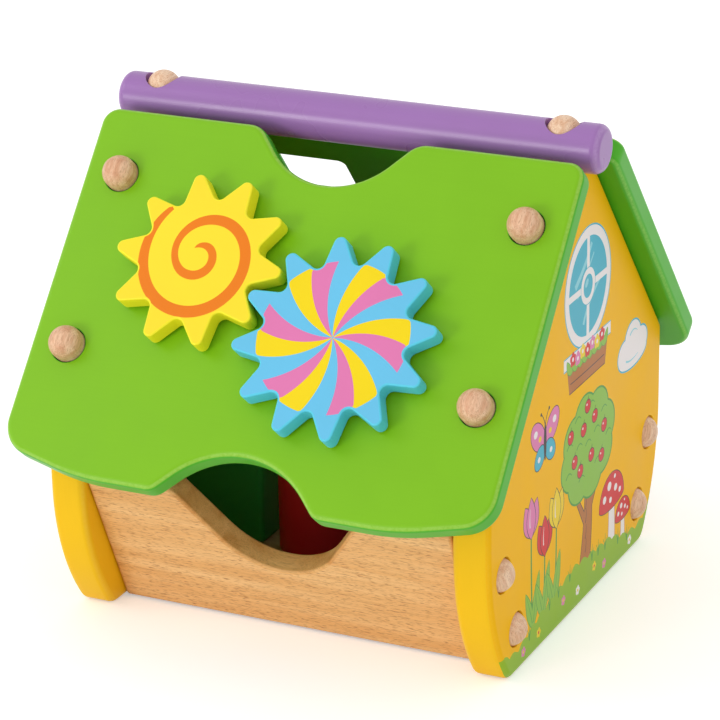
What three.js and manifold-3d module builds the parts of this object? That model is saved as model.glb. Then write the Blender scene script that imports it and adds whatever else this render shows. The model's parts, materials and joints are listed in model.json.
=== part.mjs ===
// Wooden shape sorter in the form of a small house.
// Millimetres, +X along the ridge, -Y towards the front, +Z up.
// The origin is on the floor, under the middle of the ridge pole.

import * as THREE from 'three';
import { mergeVertices } from 'three/addons/utils/BufferGeometryUtils.js';
import Module from 'manifold-3d';

const wasm = await Module();
wasm.setup();

// Ridge pole, which is also the carrying handle
const ridgeHeight = 224.7;
const ridgeRadius = 11.3;
const ridgePastGable = 11; // beyond each gable's outer face
const ridgeEndRounding = 4;

// Roof panels, whose slope is measured from the level
const roofSlope = THREE.MathUtils.degToRad(49.6);
const panelShortOfPole = 0.6; // at each side
const panelLength = 178.6; // from the top edge down to the lowest edge
const panelThickness = 12;
const panelSeat = 4.6; // from the ridge axis out to the inner face
const panelRidgeGap = 2.6; // between the pole and the top edge, along the slope
const panelTopCorner = 8;
const panelLowCorner = 16;
const panelBendInset = 42.4; // from each side to where the lower edge starts to rise
const panelBendRounding = 120;
const panelSideRise = 10.1; // how much higher it is at the sides
const panelEdgeRounding = 3;

// Grip in the top edge and arch in the lower edge of the front panel
const gripHalf = 39.3; // where the grip's flanks would meet the top edge
const gripReach = 44.5; // where they would meet each other
const gripBottom = 38;
const gripShoulder = 12;
const archHalf = 39.8;
const archReach = 40.9;
const archCrown = 44;
const archShoulder = 8;

// Gables
const gableInner = 92; // from the middle of the house to the inner face
const gableThickness = 18;
const gableHalfDepth = 107;
const gableFootInset = 22.8; // how far the foot draws in from the widest depth
const gableKneeHeight = 32.2;
const gableKneeRounding = 106;
const gableFootRounding = 9;
const gableEaveRounding = 4;
const gableEdgeRounding = 3.5;

// Sizes that follow from those of the gables
const gableFootHalf = gableHalfDepth - gableFootInset;
const ridgeLength = 2 * (gableInner + gableThickness + ridgePastGable);
const panelWidth = ridgeLength - 2 * panelShortOfPole;
const panelBendHalf = panelWidth / 2 - panelBendInset;
const plugFromMiddle = gableInner + gableThickness / 2; // roof and ridge plugs stand over the gables

// Front and back boards, which lean outwards from the foot
const boardLean = THREE.MathUtils.degToRad(23.9);
const boardHeight = 82.8;
const boardThickness = 12;
const boardFootDepth = 72.8; // from the middle of the house to the outer foot edge
const boardLift = 0.6; // outer foot edge above the ground
const boardCornerRounding = 2;
const boardEdgeRounding = 1.5;
const openingHalf = 48; // where the opening's flanks would meet the top edge
const openingReach = 69.6; // where they would meet each other
const openingShoulder = 14;
const openingBottom = 33.6;

// Floor board, with edges bevelled to lie between the two boards
const floorTop = 10;
const floorThickness = 4;

// Screws, and the domed plugs that cover them
const screwLength = 28;
const screwRadius = 2;
const screwTip = 5;
const screwHeadRadius = 4.4;
const screwHeadHeight = 2.8;
const screwHeadCrown = 1;
const plugRadius = 8;
const plugShank = 6.4;
const plugFootChamfer = 0.6;
const plugHoleGap = 0.4;
const panelPlugProud = 10.5; // dome tops above the surface round them
const gablePlugProud = 4.6;
const ridgePlugProud = 2.3;
const panelPlugHigh = 33.3; // down the slope from the top edge
const panelPlugLow = 118.3;
const boardPlugHigh = 56.2; // up the board from its foot
const boardPlugLow = 20.9;

// Meshed gears on the front panel
const gearSpacing = 80;
const sunTeeth = 10;
const pinwheelTeeth = 12;
const sunToothHeight = 10.4; // unrounded tooth tips and valleys from the pitch circles
const sunToothDepth = 8.8;
const pinwheelToothHeight = 10.1;
const pinwheelToothDepth = 11.3;
const toothTipRounding = 3.1;
const toothValleyRounding = 3.5;
const gearThickness = 9;
const gearEdgeRounding = 0.9;
const gearStandOff = 1.5;
const sunFromMiddle = 44.3;
const sunDownSlope = 72.3;
const gearLine = THREE.MathUtils.degToRad(-20); // from the sun's centre to the pinwheel's
const sunTurn = THREE.MathUtils.degToRad(0.2);
const pinwheelTurn = THREE.MathUtils.degToRad(2);

// Gear axles, glued into the gears and held behind the panel
const axleRadius = 4;
const axleInGear = 6;
const axlePastPanel = 0.6;
const axleChamfer = 0.8;
const washerRadius = 9;
const retainerThickness = 1.5;
const axleScrewRadius = 1.8;
const axleScrewLength = 18;

// Shape blocks, and the holes for them in the back panel
const blockHeight = 42;
const squareWidth = 42;
const roundWidth = 42;
const triangleApothem = 13.5;
const hexagonApothem = 20;
const arcadeWidth = 42;
const arcadeHeight = 29;
const arcadeCrownShare = 0.49;
const blockCornerRounding = 2.5;
const blockEdgeRounding = 1.8;
const blockClearance = 1; // all round a block in its hole

// Centres of the holes, as shares of half the panel's width and of its length
const holePlaceShares = {
  square: [0.387, 0.305],
  round: [-0.387, 0.305],
  triangle: [-0.483, 0.65],
  hexagon: [0, 0.63],
  arcade: [0.483, 0.62],
};

// Centres of the blocks, as shares of the room's half width and of the floor's half depth
const blockPlaceShares = {
  square: [-0.756, 0.102],
  round: [-0.225, -0.079],
  triangle: [0.37, 0.535],
  hexagon: [0.37, -0.504],
  arcade: [0.758, 0.016],
};

// Clearances
const fit = 0.3; // between pieces that touch
const overrun = 5; // how far a cut runs past what it cuts

// Smoothness of curves: of the corners of an outline, and of a plate's rounded edges
const smooth = { arcSteps: 3, edgeSteps: 2 };
const plain = { arcSteps: 3, edgeSteps: 1 };
const toothed = { arcSteps: 2, edgeSteps: 1 };
const poleEdgeSteps = 2;
const domeSteps = 3;
const poleSides = 28;
const plugSides = 12;
const screwSides = 6;

// Finishes
const paintRoughness = 0.38;
const woodRoughness = 0.55;
const steelRoughness = 0.35;

function painted(colour) {
  return new THREE.MeshStandardMaterial({ color: colour, roughness: paintRoughness, metalness: 0 });
}

function bareWood(colour) {
  return new THREE.MeshStandardMaterial({ color: colour, roughness: woodRoughness, metalness: 0 });
}

function zincSteel() {
  return new THREE.MeshStandardMaterial({ color: '#b9bcc0', roughness: steelRoughness, metalness: 1 });
}

// Scene graph helpers

function addFrame(parent, position, rotation) {
  const frame = new THREE.Group();
  frame.position.set(...position);
  frame.rotation.set(...rotation);
  parent.add(frame);
  return frame;
}

function addPiece(parent, name, geometry, material) {
  const piece = new THREE.Mesh(geometry, material);
  piece.name = name;
  parent.add(piece);
  return piece;
}

// Cuts, made on closed solids

function solidOf(geometry) {
  const bare = geometry.clone();
  bare.deleteAttribute('normal');
  bare.deleteAttribute('uv');
  const merged = mergeVertices(bare);
  return new wasm.Manifold(new wasm.Mesh({
    numProp: 3,
    vertProperties: new Float32Array(merged.attributes.position.array),
    triVerts: new Uint32Array(merged.index.array),
  }));
}

function geometryOf(solid) {
  const mesh = solid.getMesh();
  const geometry = new THREE.BufferGeometry();
  geometry.setAttribute('position', new THREE.BufferAttribute(mesh.vertProperties, 3));
  geometry.setIndex(new THREE.BufferAttribute(mesh.triVerts, 1));
  geometry.computeVertexNormals();
  return geometry;
}

const carvedSolids = new Map();

// Cuts geometry that stands in a frame of its own out of a piece
function carve(piece, frame, cutter) {
  piece.updateWorldMatrix(true, false);
  frame.updateWorldMatrix(true, false);
  const move = piece.matrixWorld.clone().invert().multiply(frame.matrixWorld);
  const cut = solidOf(cutter.clone().applyMatrix4(move));
  const whole = carvedSolids.get(piece) ?? solidOf(piece.geometry);
  carvedSolids.set(piece, whole.subtract(cut));
  piece.geometry = geometryOf(carvedSolids.get(piece));
}

// Outlines and shapes

// An outline whose corners, given as [x, y, radius], are rounded
function roundedOutline(corners) {
  const outline = new THREE.Shape();
  corners.forEach(([x, y, radius], i) => {
    const corner = new THREE.Vector2(x, y);
    const before = corners.at(i - 1);
    const after = corners[(i + 1) % corners.length];
    const back = new THREE.Vector2(before[0], before[1]).sub(corner).normalize();
    const ahead = new THREE.Vector2(after[0], after[1]).sub(corner).normalize();
    const half = Math.acos(back.dot(ahead)) / 2;
    const centre = back.clone().add(ahead).setLength(radius / Math.sin(half)).add(corner);
    const run = radius / Math.tan(half);
    const start = back.clone().multiplyScalar(run).add(corner).sub(centre);
    const end = ahead.clone().multiplyScalar(run).add(corner).sub(centre);
    const clockwise = back.cross(ahead) > 0;
    outline.absarc(centre.x, centre.y, radius, start.angle(), end.angle(), clockwise);
  });
  outline.closePath();
  return outline;
}

function circleOutline(radius, sides) {
  const points = Array.from({ length: sides }, (_, i) => {
    const angle = (2 * Math.PI * i) / sides;
    return new THREE.Vector2(radius * Math.cos(angle), radius * Math.sin(angle));
  });
  return new THREE.Shape(points);
}

// A board from z = 0 up to its thickness, with the edges of both faces rounded
function plate(outline, thickness, rounding, smoothness) {
  const geometry = new THREE.ExtrudeGeometry(outline, {
    depth: thickness - 2 * rounding,
    bevelEnabled: rounding > 0,
    bevelThickness: rounding,
    bevelSize: rounding,
    bevelOffset: -rounding,
    bevelSegments: smoothness.edgeSteps,
    curveSegments: smoothness.arcSteps,
  });
  return geometry.translate(0, 0, rounding);
}

// A piece turned about Z, from [radius, height] pairs that start and end on the axis
function turned(profile, sides) {
  const points = profile.map(([radius, height]) => new THREE.Vector2(radius, height));
  return new THREE.LatheGeometry(points, sides).rotateX(Math.PI / 2);
}

function rod(radius, bottom, top, sides) {
  return turned([[0, bottom], [radius, bottom], [radius, top], [0, top]], sides);
}

// A ring with its lower face at the given height
function ring(inner, outer, bottom, thickness) {
  const outline = circleOutline(outer, plugSides);
  outline.holes.push(circleOutline(inner, plugSides));
  return plate(outline, thickness, 0, plain).translate(0, 0, bottom);
}

// Screws and plugs, in a frame with its origin on the screw's seat and Z out of the wood

const plugFoot = fit + screwHeadHeight + fit;
const plugShoulder = plugFoot + plugShank;
const plugTop = plugShoulder + plugRadius;

function screwShape(radius, length) {
  return turned([
    [0, -length],
    [radius, screwTip - length],
    [radius, fit],
    [screwHeadRadius, fit],
    [screwHeadRadius, fit + screwHeadHeight - screwHeadCrown],
    [screwHeadRadius - screwHeadCrown, fit + screwHeadHeight],
    [0, fit + screwHeadHeight],
  ], screwSides);
}

function plugShape() {
  const profile = [
    [0, plugFoot],
    [plugRadius - plugFootChamfer, plugFoot],
    [plugRadius, plugFoot + plugFootChamfer],
  ];
  for (let step = 0; step < domeSteps; step += 1) {
    const angle = (step / domeSteps) * (Math.PI / 2);
    profile.push([plugRadius * Math.cos(angle), plugShoulder + plugRadius * Math.sin(angle)]);
  }
  profile.push([0, plugTop]);
  return turned(profile, plugSides);
}

// Room for a screw and its plug, shared by all the pieces that they pass through
const fastenerSpace = turned([
  [0, -screwLength - fit],
  [screwRadius + fit, -screwLength - fit],
  [screwRadius + fit, 0],
  [plugRadius + plugHoleGap, 0],
  [plugRadius + plugHoleGap, plugTop + overrun],
  [0, plugTop + overrun],
], plugSides);

// Adds a screw and its plug, and cuts their room out of the pieces that they join
function fasten(frame, name, pieces) {
  addPiece(frame, `${name}_screw`, screwShape(screwRadius, screwLength), zincSteel());
  addPiece(frame, `${name}_plug`, plugShape(), bareWood('#d9ac86'));
  pieces.forEach((piece) => carve(piece, frame, fastenerSpace));
}

// The house

const house = new THREE.Group();
const front = addFrame(house, [0, 0, 0], [0, 0, 0]);
const back = addFrame(house, [0, 0, 0], [0, 0, Math.PI]);
const leftRight = [['right', 1], ['left', -1]];

function ridgeShape() {
  const end = ridgeLength / 2;
  const flat = end - ridgeEndRounding;
  const profile = [[0, -end]];
  for (const side of [-1, 1]) {
    for (let step = 0; step <= poleEdgeSteps; step += 1) {
      const turn = side < 0 ? 1 - step / poleEdgeSteps : step / poleEdgeSteps;
      const angle = turn * (Math.PI / 2);
      const inset = ridgeEndRounding * (1 - Math.cos(angle));
      profile.push([ridgeRadius - inset, side * (flat + ridgeEndRounding * Math.sin(angle))]);
    }
  }
  profile.push([0, end]);
  return turned(profile, poleSides);
}

const ridgeFrame = addFrame(house, [0, 0, ridgeHeight], [0, Math.PI / 2, 0]);
const ridgePole = addPiece(ridgeFrame, 'ridge_pole', ridgeShape(), painted('#a678b8'));

// Gables, outlined in depth and height, with the slopes just under the panels
function gableShape() {
  const apex = ridgeHeight + (panelSeat - fit) / Math.cos(roofSlope);
  const eave = apex - gableHalfDepth * Math.tan(roofSlope);
  const outline = roundedOutline([
    [gableFootHalf, 0, gableFootRounding],
    [gableHalfDepth, gableKneeHeight, gableKneeRounding],
    [gableHalfDepth, eave, gableEaveRounding],
    [0, apex, gableEaveRounding],
    [-gableHalfDepth, eave, gableEaveRounding],
    [-gableHalfDepth, gableKneeHeight, gableKneeRounding],
    [-gableFootHalf, 0, gableFootRounding],
  ]);
  const shape = plate(outline, gableThickness, gableEdgeRounding, smooth);
  return shape.translate(0, 0, gableInner);
}

const gables = {};
for (const [name, side] of leftRight) {
  const frame = addFrame(side > 0 ? front : back, [0, 0, 0], [Math.PI / 2, Math.PI / 2, 0]);
  gables[name] = addPiece(frame, `gable_${name}`, gableShape(), painted('#f7b83a'));
  const saddle = rod(ridgeRadius + fit, -ridgeLength, ridgeLength, poleSides);
  carve(gables[name], ridgeFrame, saddle);
}

// Roof panels, in frames with X across, Y up the slope and Z out of the roof
const panelTop = -(ridgeRadius + panelRidgeGap);
const panelFace = panelSeat + panelThickness;
const panelLow = panelTop - panelLength;
const panelSide = panelWidth / 2;

function panelShape(gripCorners, archCorners) {
  const outline = roundedOutline([
    [panelBendHalf, panelLow, panelBendRounding],
    [panelSide, panelLow + panelSideRise, panelLowCorner],
    [panelSide, panelTop, panelTopCorner],
    ...gripCorners,
    [-panelSide, panelTop, panelTopCorner],
    [-panelSide, panelLow + panelSideRise, panelLowCorner],
    [-panelBendHalf, panelLow, panelBendRounding],
    ...archCorners,
  ]);
  const shape = plate(outline, panelThickness, panelEdgeRounding, smooth);
  return shape.translate(0, 0, panelSeat);
}

function slopeFrame(side) {
  return addFrame(side, [0, 0, ridgeHeight], [roofSlope, 0, 0]);
}

const frontSlope = slopeFrame(front);
const backSlope = slopeFrame(back);
const frontPanel = addPiece(frontSlope, 'roof_panel_front', panelShape([
  [gripHalf, panelTop, gripShoulder],
  [0, panelTop - gripReach, gripBottom],
  [-gripHalf, panelTop, gripShoulder],
], [
  [-archHalf, panelLow, archShoulder],
  [0, panelLow + archReach, archCrown],
  [archHalf, panelLow, archShoulder],
]), painted('#84c22d'));
const backPanel = addPiece(backSlope, 'roof_panel_back', panelShape([], []), painted('#84c22d'));

// Front and back boards, in frames with Y up the board and Z out of the house
const roomHalf = gableInner - fit;

function boardShape(openingCorners) {
  const outline = roundedOutline([
    [-roomHalf, 0, boardCornerRounding],
    [roomHalf, 0, boardCornerRounding],
    [roomHalf, boardHeight, boardCornerRounding],
    ...openingCorners,
    [-roomHalf, boardHeight, boardCornerRounding],
  ]);
  const shape = plate(outline, boardThickness, boardEdgeRounding, plain);
  return shape.translate(0, 0, -boardThickness);
}

function leanFrame(side) {
  return addFrame(side, [0, -boardFootDepth, boardLift], [Math.PI / 2 + boardLean, 0, 0]);
}

const frontLean = leanFrame(front);
const backLean = leanFrame(back);
const frontBoard = addPiece(frontLean, 'front_board', boardShape([
  [openingHalf, boardHeight, openingShoulder],
  [0, boardHeight - openingReach, openingBottom],
  [-openingHalf, boardHeight, openingShoulder],
]), bareWood('#e3aa68'));
const backBoard = addPiece(backLean, 'back_board', boardShape([]), bareWood('#e3aa68'));

// Floor board, drawn in depth and height and carried across the house
const boardInnerFoot = boardFootDepth - (boardThickness + fit) / Math.cos(boardLean);

function floorHalfDepth(height) {
  return boardInnerFoot + (height - boardLift) * Math.tan(boardLean);
}

function floorShape() {
  const bottom = floorTop - floorThickness;
  const outline = new THREE.Shape([
    new THREE.Vector2(floorHalfDepth(bottom), bottom),
    new THREE.Vector2(floorHalfDepth(floorTop), floorTop),
    new THREE.Vector2(-floorHalfDepth(floorTop), floorTop),
    new THREE.Vector2(-floorHalfDepth(bottom), bottom),
  ]);
  return plate(outline, 2 * roomHalf, 0, plain).translate(0, 0, -roomHalf);
}

const floorFrame = addFrame(house, [0, 0, 0], [Math.PI / 2, Math.PI / 2, 0]);
addPiece(floorFrame, 'floor_board', floorShape(), bareWood('#dcb684'));

// Screws and plugs: four in each panel, four in each gable and one at each end of the ridge
const panelScrewSeat = panelFace + panelPlugProud - plugTop;
const gableScrewSeat = gableInner + gableThickness + gablePlugProud - plugTop;
const ridgeScrewSeat = ridgeHeight + ridgeRadius + ridgePlugProud - plugTop;
const houseSides = [
  { name: 'front', slope: frontSlope, panel: frontPanel, lean: frontLean, board: frontBoard, turn: 1 },
  { name: 'back', slope: backSlope, panel: backPanel, lean: backLean, board: backBoard, turn: -1 },
];
const panelRows = [['upper', panelPlugHigh], ['lower', panelPlugLow]];
const boardRows = [['upper', boardPlugHigh], ['lower', boardPlugLow]];

for (const [end, side] of leftRight) {
  for (const { name, slope, panel, lean, board, turn } of houseSides) {
    const across = side * turn;
    for (const [row, down] of panelRows) {
      const place = [across * plugFromMiddle, panelTop - down, panelScrewSeat];
      const frame = addFrame(slope, place, [0, 0, 0]);
      fasten(frame, `roof_${name}_${end}_${row}`, [panel, gables[end]]);
    }
    for (const [row, up] of boardRows) {
      const place = [across * gableScrewSeat, up, -boardThickness / 2];
      const frame = addFrame(lean, place, [0, (across * Math.PI) / 2, 0]);
      fasten(frame, `gable_${end}_${name}_${row}`, [gables[end], board]);
    }
  }
  const frame = addFrame(house, [side * plugFromMiddle, 0, ridgeScrewSeat], [0, 0, 0]);
  fasten(frame, `ridge_${end}`, [ridgePole, gables[end]]);
}

// Gears on the front panel, each with its axle, washers and screw
const gearBack = panelFace + gearStandOff;
const axleFoot = panelSeat - axlePastPanel;
const retainerFoot = axleFoot - fit - retainerThickness;

// An outline of rounded teeth, the first of them on the X axis
function toothedOutline(teeth, tipRadius, valleyRadius) {
  const corners = [];
  for (let tooth = 0; tooth < teeth; tooth += 1) {
    const tip = (2 * Math.PI * tooth) / teeth;
    const valley = tip + Math.PI / teeth;
    corners.push([tipRadius * Math.cos(tip), tipRadius * Math.sin(tip), toothTipRounding]);
    corners.push([
      valleyRadius * Math.cos(valley),
      valleyRadius * Math.sin(valley),
      toothValleyRounding,
    ]);
  }
  return roundedOutline(corners);
}

function axleShape() {
  const top = gearBack + axleInGear - fit;
  return turned([
    [0, axleFoot],
    [axleRadius, axleFoot],
    [axleRadius, top - axleChamfer],
    [axleRadius - axleChamfer, top],
    [0, top],
  ], plugSides);
}

function addGear(name, outline, place, turn, colour) {
  const frame = addFrame(frontSlope, [...place, 0], [0, 0, turn]);
  const gear = plate(outline, gearThickness, gearEdgeRounding, toothed);
  const gearPiece = addPiece(frame, `${name}_gear`, gear.translate(0, 0, gearBack), painted(colour));
  const bore = axleRadius + fit;
  carve(gearPiece, frame, rod(bore, panelSeat, gearBack + axleInGear, plugSides));
  carve(frontPanel, frame, rod(bore, -overrun, gearBack, plugSides));

  const spacer = ring(bore, washerRadius, panelFace + fit, gearStandOff - 2 * fit);
  addPiece(frame, `${name}_spacer`, spacer, zincSteel());
  const retainer = ring(axleScrewRadius + fit, washerRadius, retainerFoot, retainerThickness);
  addPiece(frame, `${name}_retainer`, retainer, zincSteel());

  const screwFrame = addFrame(frame, [0, 0, retainerFoot], [Math.PI, 0, 0]);
  const screw = screwShape(axleScrewRadius, axleScrewLength);
  addPiece(screwFrame, `${name}_axle_screw`, screw, zincSteel());
  const axle = addPiece(frame, `${name}_axle`, axleShape(), bareWood('#d8b184'));
  const screwHole = rod(axleScrewRadius + fit, -axleScrewLength - fit, 0, screwSides);
  carve(axle, screwFrame, screwHole);
}

const radiusPerTooth = gearSpacing / (sunTeeth + pinwheelTeeth);
const sunPitch = radiusPerTooth * sunTeeth;
const pinwheelPitch = radiusPerTooth * pinwheelTeeth;
const sunPlace = [-sunFromMiddle, panelTop - sunDownSlope];
const pinwheelPlace = [
  sunPlace[0] + gearSpacing * Math.cos(gearLine),
  sunPlace[1] + gearSpacing * Math.sin(gearLine),
];
const sunOutline = toothedOutline(sunTeeth, sunPitch + sunToothHeight, sunPitch - sunToothDepth);
const pinwheelOutline = toothedOutline(
  pinwheelTeeth,
  pinwheelPitch + pinwheelToothHeight,
  pinwheelPitch - pinwheelToothDepth,
);
const sunMesh = gearLine + Math.PI / sunTeeth; // a valley of the sun faces a pinwheel tooth
addGear('sun', sunOutline, sunPlace, sunMesh + sunTurn, '#ffe13c');
addGear('pinwheel', pinwheelOutline, pinwheelPlace, gearLine + Math.PI + pinwheelTurn, '#6fc6ea');

// Blocks, and the same outlines with clearance for their holes

// A regular outline with a flat side at the bottom
function polygonOutline(sides, apothem, rounding) {
  const reach = apothem / Math.cos(Math.PI / sides);
  const corners = Array.from({ length: sides }, (_, i) => {
    const angle = ((2 * i + 1) * Math.PI) / sides - Math.PI / 2;
    return [reach * Math.cos(angle), reach * Math.sin(angle), rounding];
  });
  return roundedOutline(corners);
}

function arcadeOutline(grow, rounding) {
  const half = arcadeWidth / 2 + grow;
  const tall = arcadeHeight / 2 + grow;
  const crown = 2 * half * arcadeCrownShare;
  return roundedOutline([
    [-half, -tall, rounding],
    [half, -tall, rounding],
    [half, tall, crown],
    [-half, tall, crown],
  ]);
}

const blockOutlines = {
  square: (grow, rounding) => polygonOutline(4, squareWidth / 2 + grow, rounding),
  round: (grow) => circleOutline(roundWidth / 2 + grow, poleSides),
  triangle: (grow, rounding) => polygonOutline(3, triangleApothem + grow, rounding),
  hexagon: (grow, rounding) => polygonOutline(6, hexagonApothem + grow, rounding),
  arcade: arcadeOutline,
};
const blockColours = {
  square: '#2f9e44',
  round: '#d2232a',
  triangle: '#f7cf1d',
  hexagon: '#2b7fc7',
  arcade: '#f08a24',
};

for (const [name, outline] of Object.entries(blockOutlines)) {
  const [acrossShare, downShare] = holePlaceShares[name];
  const hole = [acrossShare * panelSide, panelTop - downShare * panelLength, 0];
  const holeFrame = addFrame(backSlope, hole, [0, 0, 0]);
  const holeOutline = outline(blockClearance, blockCornerRounding + blockClearance);
  carve(backPanel, holeFrame, plate(holeOutline, panelFace + overrun, 0, plain));

  const [sideShare, depthShare] = blockPlaceShares[name];
  const seat = [sideShare * roomHalf, depthShare * floorHalfDepth(floorTop), floorTop + fit];
  const blockFrame = addFrame(house, seat, [0, 0, 0]);
  const blockOutline = outline(0, blockCornerRounding);
  const block = plate(blockOutline, blockHeight, blockEdgeRounding, plain);
  addPiece(blockFrame, `block_${name}`, block, painted(blockColours[name]));
}

export default house;
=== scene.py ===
import json
from math import acos, atan2, ceil, cos, pi, radians, sin, tan

import bpy
import numpy as np
from mathutils import Matrix, Vector
from mathutils.geometry import delaunay_2d_cdt


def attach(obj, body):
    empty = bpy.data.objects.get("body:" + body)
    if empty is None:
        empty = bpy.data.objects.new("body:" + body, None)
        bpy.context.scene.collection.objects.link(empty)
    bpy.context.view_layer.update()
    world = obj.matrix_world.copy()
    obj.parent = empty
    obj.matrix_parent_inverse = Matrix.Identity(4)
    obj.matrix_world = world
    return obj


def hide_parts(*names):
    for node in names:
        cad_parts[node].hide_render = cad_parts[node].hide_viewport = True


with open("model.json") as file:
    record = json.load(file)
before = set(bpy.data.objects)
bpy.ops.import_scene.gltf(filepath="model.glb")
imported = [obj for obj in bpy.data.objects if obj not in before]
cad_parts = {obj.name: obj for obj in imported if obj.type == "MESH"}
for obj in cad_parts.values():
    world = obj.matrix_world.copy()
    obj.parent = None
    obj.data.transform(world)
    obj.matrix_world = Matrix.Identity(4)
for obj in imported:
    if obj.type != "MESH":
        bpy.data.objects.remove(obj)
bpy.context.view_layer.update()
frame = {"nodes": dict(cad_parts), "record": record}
record = frame["record"]
slotOf = {part["node"]: part["material_slot"] for part in record["subparts"]}
bodyOf = {node: body for body, nodes in record["behaviour"]["bodies"].items() for node in nodes}
mm = 0.001
print("frame loaded with", len(slotOf), "nodes")


# camera, light and floor

camera = {
    "place": (0.587855, -1.220801, 0.624392),
    "right": (0.90332925, 0.42857739, -0.01782374),
    "up": (-0.13772026, 0.32912949, 0.93418783),
    "back": (0.4062381, -0.84142451, 0.35633609),
    "focalPixels": 3080.94, "imagePixels": 720, "sensor": 36, "clipEnd": 50,
}
light = {
    "sky": 0.83,             # strength of the even white light from all round
    "lamps": {               # watts, size and place
        "key": (11, 1.4, (-2.3, -1.4, 2.1)), "front": (15, 0.9, (-1.1, -2.45, 0.36)),
    },
    "aim": (0, 0, 0.12),
    "floorRadius": 8, "floorSides": 96, "floorColour": "#f4f4f3",
    "floorGlow": 0.38,       # for the camera and reflections alone, so that it reads as white
}


def linear(colour):
    # sRGB hex to linear light: divided by 12.92 at the low end, raised to 2.4 elsewhere
    parts = np.array([int(colour[i:i + 2], 16) for i in (1, 3, 5)]) / 255
    parts = np.where(parts <= 0.04045, parts / 12.92, ((parts + 0.055) / 1.055) ** 2.4)
    return (*parts.tolist(), 1)


def addNode(tree, kind, inputs=None, **settings):
    # An input is either a value or the output socket to link
    made = tree.nodes.new(f"ShaderNode{kind}")
    for name, value in settings.items():
        setattr(made, name, value)
    for name, value in (inputs or {}).items():
        if isinstance(value, bpy.types.NodeSocket):
            tree.links.new(value, made.inputs[name])
        else:
            made.inputs[name].default_value = value
    return made


def remapped(tree, value, low, high, toLow=0, toHigh=1):
    limits = {"Value": value, "From Min": low, "From Max": high, "To Min": toLow, "To Max": toHigh}
    return addNode(tree, "MapRange", limits).outputs[0]


def combined(tree, operation, first, second):
    return addNode(tree, "Math", {0: first, 1: second}, operation=operation).outputs[0]


def emptyTree(owner):
    owner.use_nodes = True
    owner.node_tree.nodes.clear()
    return owner.node_tree


def newObject(name, data):
    made = bpy.data.objects.new(name, data)
    bpy.context.collection.objects.link(made)
    return made


data = bpy.data.cameras.new("camera")
data.sensor_width = camera["sensor"]
data.lens = camera["focalPixels"] * camera["sensor"] / camera["imagePixels"]
data.clip_end = camera["clipEnd"]
axes = Matrix([camera["right"], camera["up"], camera["back"]]).transposed().to_4x4()
bpy.context.scene.camera = newObject("camera", data)
bpy.context.scene.camera.matrix_world = Matrix.Translation(camera["place"]) @ axes

for name, (watts, size, place) in light["lamps"].items():
    data = bpy.data.lights.new(f"{name}Lamp", "AREA")
    data.shape = "DISK"
    data.size = size
    data.energy = watts
    away = Vector(place) - Vector(light["aim"])
    made = newObject(f"{name}Lamp", data)
    made.matrix_world = Matrix.Translation(place) @ away.to_track_quat("Z", "Y").to_matrix().to_4x4()


def even(count):
    return np.arange(count) * 2 * np.pi / count


def ray(turn):
    return np.stack([np.cos(turn), np.sin(turn)], axis=-1)


def lifted(flat, third):
    # Flat points with a third column, one value or one for each
    return np.c_[flat, np.broadcast_to(third, len(flat))]


def seenDirectly(tree):
    # 1 for rays from the camera and for reflected or refracted ones
    path = addNode(tree, "LightPath").outputs
    seen = combined(tree, "MAXIMUM", path["Is Camera Ray"], path["Is Glossy Ray"])
    return combined(tree, "MAXIMUM", seen, path["Is Transmission Ray"])


world = bpy.data.worlds.new("studio")
tree = emptyTree(world)
strength = remapped(tree, seenDirectly(tree), 0, 1, light["sky"], 1)
sky = addNode(tree, "Background", {"Color": (1, 1, 1, 1), "Strength": strength})
addNode(tree, "OutputWorld", {"Surface": sky.outputs[0]})
bpy.context.scene.world = world

# a disc on the ground: one ring of corners
ring = lifted(ray(even(light["floorSides"])), 0) * light["floorRadius"]
mesh = bpy.data.meshes.new("floor")
mesh.from_pydata(ring.tolist(), [], [list(range(len(ring)))])
paper = bpy.data.materials.new("paperSweep")
tree = emptyTree(paper)
matte = addNode(tree, "BsdfDiffuse", {"Color": linear(light["floorColour"])})
strength = combined(tree, "MULTIPLY", seenDirectly(tree), light["floorGlow"])
glow = addNode(tree, "Emission", {"Color": (1, 1, 1, 1), "Strength": strength})
both = addNode(tree, "AddShader", {0: matte.outputs[0], 1: glow.outputs[0]})
addNode(tree, "OutputMaterial", {"Surface": both.outputs[0]})
mesh.materials.append(paper)
newObject("floor", mesh)

bpy.context.scene.view_settings.view_transform = "Standard"
print("camera, light and floor made")


# materials
# Pieces carry two attributes: "grain", their own coordinates in metres with X along the wood, and
# "rub", which is 1 along the middle of a rounded edge and 0 on the flats; the lacquers paint a
# pale highlight line along it.

paint = {
    "roughness": 0.38, "coatRoughness": 0.2,
    "peelSize": 1.3, "peelDepth": 0.010,       # mm, ripple of a sprayed lacquer
    "grainWidth": 0.9, "grainLength": 26,      # mm, wood grain under the lacquer
    "grainDepth": 0.012,
    "cloudSize": 28,                           # mm, slow change of colour
}
beech = {
    "roughness": 0.48, "coat": 0.05, "coatRoughness": 0.3,
    "ringWidth": 7, "ringLength": 160,         # mm, growth bands
    "fibreWidth": 0.45, "fibreLength": 22, "fibreDepth": 0.02,
    "fleckWidth": 0.42, "fleckLength": 3.4,    # mm, short dark rays
    "fleckDepth": 0.03,
}
zinc = {"cloudSize": 3, "depth": 0.01, "dark": "#a9adb4", "pale": "#cfd1d2", "roughness": (0.22, 0.42)}


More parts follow.
